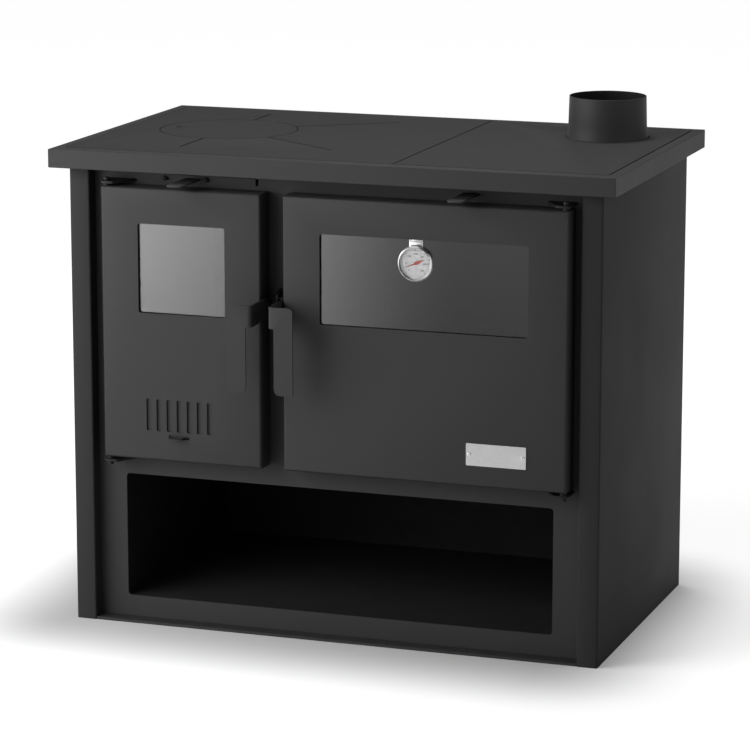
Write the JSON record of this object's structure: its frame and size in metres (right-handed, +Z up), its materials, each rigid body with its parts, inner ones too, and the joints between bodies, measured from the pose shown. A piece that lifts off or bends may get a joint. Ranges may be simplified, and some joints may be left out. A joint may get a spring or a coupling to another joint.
{
  "type": "wood cookstove",
  "caption": "Free-standing wood cookstove: firebox and oven behind hinged glazed doors, open wood store below, steel hob with a lift-out lid and a flue collar above.",
  "frame": {"origin": "middle of the cabinet's footprint, on the floor (underside of the base plate)", "axes": "+Z up, +X to the right seen from the front, +Y to the back; the doors face -Y"},
  "size_m": [1, 0.649, 0.904],
  "materials": {
    "paint": "matt heat-proof paint on folded sheet steel",
    "hob": "matt black steel hob",
    "inside": "sooted sheet steel",
    "iron": "cast iron, matt black",
    "brick": "light refractory board",
    "rope": "braided glass-fibre rope",
    "glass": "ceramic glass, clear over a dark chamber",
    "lens": "clear",
    "steel": "brushed",
    "zinc": "plated sheet",
    "enamel": "glossy enamel",
    "dial": "brushed dial face",
    "needle": "red lacquer"
  },
  "bodies": {
    "cabinet": {"left_side_panel": "paint", "right_side_panel": "paint", "back_panel": "paint", "base_plate": "paint", "front_panel": "paint", "wood_store_liner": "inside", "hearth_deck": "inside", "worktop_frame": "hob", "left_hob_plate": "hob", "right_hob_plate": "hob", "flue_collar": "iron", "firebox_shell": "inside", "fire_grate": "iron", "firebrick_left": "brick", "firebrick_right": "brick", "firebrick_back": "brick", "oven_box": "inside", "oven_runner_left": "zinc", "oven_runner_right": "zinc", "bridge_plate": "inside", "flue_box": "inside", "air_slide_screw_left": "steel", "air_slide_screw_right": "steel", "fire_hinge_ear_upper": "paint", "fire_hinge_ear_lower": "paint", "oven_hinge_ear_upper": "paint", "oven_hinge_ear_lower": "paint", "latch_keeper": "paint"},
    "hob_lid": {"hob_lid": "hob"},
    "ash_pan": {"ash_pan": "zinc"},
    "oven_rack": {"oven_rack": "steel"},
    "baking_tray": {"baking_tray": "enamel"},
    "damper": {"damper_flap": "iron", "damper_rod": "paint"},
    "air_slide": {"air_slide": "paint"},
    "fire_door": {"fire_door_panel": "paint", "fire_door_liner": "inside", "fire_glass": "glass", "fire_sealing_rope": "rope", "fire_hinge_pin_upper": "paint", "fire_hinge_pin_lower": "paint", "fire_handle_bolt": "steel", "air_shutter_guide": "inside"},
    "fire_handle": {"fire_handle": "paint"},
    "air_shutter": {"air_shutter": "paint"},
    "oven_door": {"oven_door_panel": "paint", "oven_door_liner": "inside", "oven_glass": "glass", "oven_sealing_rope": "rope", "oven_hinge_pin_upper": "paint", "oven_hinge_pin_lower": "paint", "oven_handle_bolt": "steel", "thermometer_case": "steel", "thermometer_dial": "dial", "thermometer_lens": "lens", "bare_plate": "steel", "plate_rivet_left": "steel", "plate_rivet_right": "steel"},
    "oven_handle": {"oven_handle": "paint"},
    "needle": {"thermometer_needle": "needle"}
  },
  "joints": [
    {"name": "fire_door_hinge", "type": "hinge", "parent": "cabinet", "child": "fire_door", "pos_m": [-0.4, -0.2865, 0.3], "axis": [0, 0, -1], "range_deg": [0, 120]},
    {"name": "oven_door_hinge", "type": "hinge", "parent": "cabinet", "child": "oven_door", "pos_m": [0.4125, -0.2865, 0.3], "axis": [0, 0, 1], "range_deg": [0, 110]},
    {"name": "fire_handle_lift", "type": "hinge", "parent": "fire_door", "child": "fire_handle", "pos_m": [-0.114, -0.277, 0.583], "axis": [-1, 0, 0], "range_deg": [0, 35]},
    {"name": "oven_handle_lift", "type": "hinge", "parent": "oven_door", "child": "oven_handle", "pos_m": [-0.081, -0.277, 0.583], "axis": [-1, 0, 0], "range_deg": [0, 35]},
    {"name": "air_shutter_slide", "type": "slide", "parent": "fire_door", "child": "air_shutter", "axis": [1, 0, 0], "range_m": [0, 0.0093]},
    {"name": "air_slide_shift", "type": "slide", "parent": "cabinet", "child": "air_slide", "axis": [-1, 0, 0], "range_m": [0, 0.01]},
    {"name": "damper_pull", "type": "slide", "parent": "cabinet", "child": "damper", "axis": [0, -1, 0], "range_m": [0, 0.06]},
    {"name": "hob_lid_lift", "type": "slide", "parent": "cabinet", "child": "hob_lid", "axis": [0, 0, 1], "range_m": [0, 0.12]},
    {"name": "ash_pan_slide", "type": "slide", "parent": "cabinet", "child": "ash_pan", "axis": [0, -1, 0], "range_m": [0, 0.168]},
    {"name": "oven_rack_slide", "type": "slide", "parent": "cabinet", "child": "oven_rack", "axis": [0, -1, 0], "range_m": [0, 0.173]},
    {"name": "baking_tray_slide", "type": "slide", "parent": "cabinet", "child": "baking_tray", "axis": [0, -1, 0], "range_m": [0, 0.173]},
    {"name": "needle_turn", "type": "hinge", "parent": "oven_door", "child": "needle", "pos_m": [0.157, -0.2955, 0.671], "axis": [0, -1, 0], "range_deg": [-68, 202]}
  ],
  "couplings": [
    {"joint": "ash_pan_slide", "follows": "fire_door_hinge", "m_per_rad": 0.08},
    {"joint": "oven_rack_slide", "follows": "oven_door_hinge", "m_per_rad": 0.09},
    {"joint": "baking_tray_slide", "follows": "oven_door_hinge", "m_per_rad": 0.09}
  ]
}
